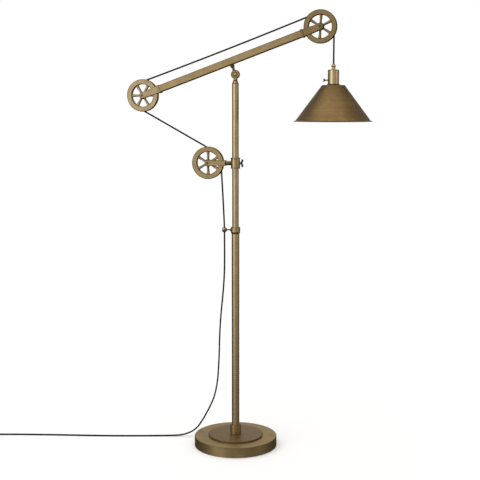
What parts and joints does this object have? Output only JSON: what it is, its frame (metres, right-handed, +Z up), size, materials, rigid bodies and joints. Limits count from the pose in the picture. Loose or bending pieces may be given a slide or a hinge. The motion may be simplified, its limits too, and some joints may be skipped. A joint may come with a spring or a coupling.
{
  "type": "adjustable arm floor lamp",
  "caption": "Floor lamp with a weighted round base, tilting arm and spoked pulleys that carry the cord to a hanging cone shade.",
  "frame": {"origin": "middle of the base's underside, on the floor", "axes": "+Z up along the pole; +X along the arm towards the shade; -Y is the front"},
  "size_m": [1.54, 0.3187, 1.5866],
  "materials": {
    "weight_iron": "rough casting",
    "felt": "matte felt",
    "antique_brass": "antique brass plating, brushed and lacquered",
    "antique_brass_cast": "antique brass plating on a cast body",
    "antique_brass_turned": "turned antique brass, satin",
    "shade_bronze": "spun, brushed round and bronzed dark",
    "steel": "bright zinc",
    "bronze_dark": "blackened bronze",
    "bush_brass": "satin",
    "phenolic": "moulded phenolic",
    "bulb_thread": "polished",
    "cord_black": "black woven cotton sleeve over a rubber cord",
    "plug_black": "moulded vinyl"
  },
  "bodies": {
    "stand": {"base_pad": "felt", "base_weight": "weight_iron", "base_cover": "antique_brass", "base_step": "antique_brass_cast", "base_spacer": "steel", "base_collar": "antique_brass_cast", "base_bolt": "steel", "base_washer": "steel", "pole_foot": "steel", "pole_lower": "antique_brass", "pole_upper": "antique_brass", "clip_ring": "antique_brass_turned", "clip_head": "antique_brass_turned", "pole_cap": "antique_brass_turned", "knuckle_screw": "bush_brass", "knuckle_nut": "bronze_dark", "bracket_sleeve": "antique_brass_turned", "bracket_fork": "antique_brass_cast", "bracket_axle": "bronze_dark", "cord_mid": "cord_black", "cord_pole": "cord_black", "cord_free": "cord_black", "cord_coil": "cord_black", "coil_tie": "plug_black", "cord_tail": "cord_black", "plug_body": "plug_black", "plug_blades": "steel"},
    "arm": {"arm_tube": "antique_brass", "arm_fork_back": "antique_brass_cast", "arm_fork_front": "antique_brass_cast", "arm_ring_back": "antique_brass_cast", "arm_ring_front": "antique_brass_cast", "arm_axle_back": "bronze_dark", "arm_axle_front": "bronze_dark", "arm_stem": "antique_brass_turned", "cord_arm": "cord_black"},
    "back_wheel": {"pulley_back": "antique_brass_cast", "bush_back": "bush_brass"},
    "front_wheel": {"pulley_front": "antique_brass_cast", "bush_front": "bush_brass"},
    "middle_wheel": {"pulley_mid": "antique_brass_cast", "bush_mid": "bush_brass"},
    "clamp_screw": {"wing_screw": "bronze_dark"},
    "span": {"cord_span": "cord_black"},
    "span_top": {"cord_span_end": "cord_black"},
    "hanger": {"cord_over": "cord_black"},
    "drop": {"cord_drop": "cord_black"},
    "pendant": {"cord_grip": "antique_brass_turned", "socket_cap": "antique_brass", "lampholder": "phenolic", "thread_shell": "bulb_thread", "middle_contact": "bulb_thread", "shade_collar": "shade_bronze", "shade": "shade_bronze", "shade_ring": "phenolic", "key_bush": "antique_brass_turned"},
    "key": {"switch_key": "bronze_dark"}
  },
  "joints": [
    {"name": "arm_tilt", "type": "hinge", "parent": "stand", "child": "arm", "pos_m": [0, 0, 1.3652], "axis": [0, -1, 0], "range_deg": [-12, 15], "deforming": ["cord_mid", "cord_over", "cord_arm"]},
    {"name": "back_pulley_turn", "type": "hinge", "parent": "arm", "child": "back_wheel", "pos_m": [-0.34364, 0, 1.29162], "axis": [0, 1, 0], "range_deg": [-72, 90]},
    {"name": "front_pulley_turn", "type": "hinge", "parent": "arm", "child": "front_wheel", "pos_m": [0.30245, 0, 1.52806], "axis": [0, 1, 0], "range_deg": [-72, 90]},
    {"name": "middle_pulley_turn", "type": "hinge", "parent": "stand", "child": "middle_wheel", "pos_m": [-0.1009, 0, 1.0498], "axis": [0, 1, 0], "continuous": true},
    {"name": "clamp_screw_turn", "type": "hinge", "parent": "stand", "child": "clamp_screw", "pos_m": [0.02, 0, 1.0498], "axis": [1, 0, 0], "continuous": true},
    {"name": "span_swing", "type": "hinge", "parent": "stand", "child": "span", "pos_m": [-0.1009, 0, 1.0498], "axis": [0, -1, 0], "range_deg": [-11, 14], "deforming": ["cord_span"]},
    {"name": "span_reach", "type": "slide", "parent": "span", "child": "span_top", "axis": [-0.8764, 0, 0.4817], "range_m": [-0.085, 0.07], "deforming": ["cord_span_end"]},
    {"name": "hanger_level", "type": "hinge", "parent": "arm", "child": "hanger", "pos_m": [0.30245, 0, 1.52806], "axis": [0, -1, 0], "range_deg": [-16, 13]},
    {"name": "pendant_swing", "type": "hinge", "parent": "hanger", "child": "drop", "pos_m": [0.34995, 0, 1.52806], "axis": [0, 1, 0], "range_deg": [-15, 15]},
    {"name": "pendant_height", "type": "slide", "parent": "drop", "child": "pendant", "axis": [0, 0, -1], "range_m": [-0.052, 0.064], "deforming": ["cord_drop"]},
    {"name": "switch_key_turn", "type": "hinge", "parent": "pendant", "child": "key", "pos_m": [0.32195, 0, 1.3435], "axis": [1, 0, 0], "continuous": true}
  ],
  "couplings": [
    {"joint": "back_pulley_turn", "follows": "arm_tilt", "ratio": 5.83},
    {"joint": "front_pulley_turn", "follows": "arm_tilt", "ratio": 5.83},
    {"joint": "span_swing", "follows": "arm_tilt", "ratio": 0.83},
    {"joint": "span_reach", "follows": "arm_tilt", "m_per_rad": -0.31},
    {"joint": "hanger_level", "follows": "arm_tilt", "ratio": -1},
    {"joint": "pendant_height", "follows": "arm_tilt", "m_per_rad": 0.229}
  ]
}
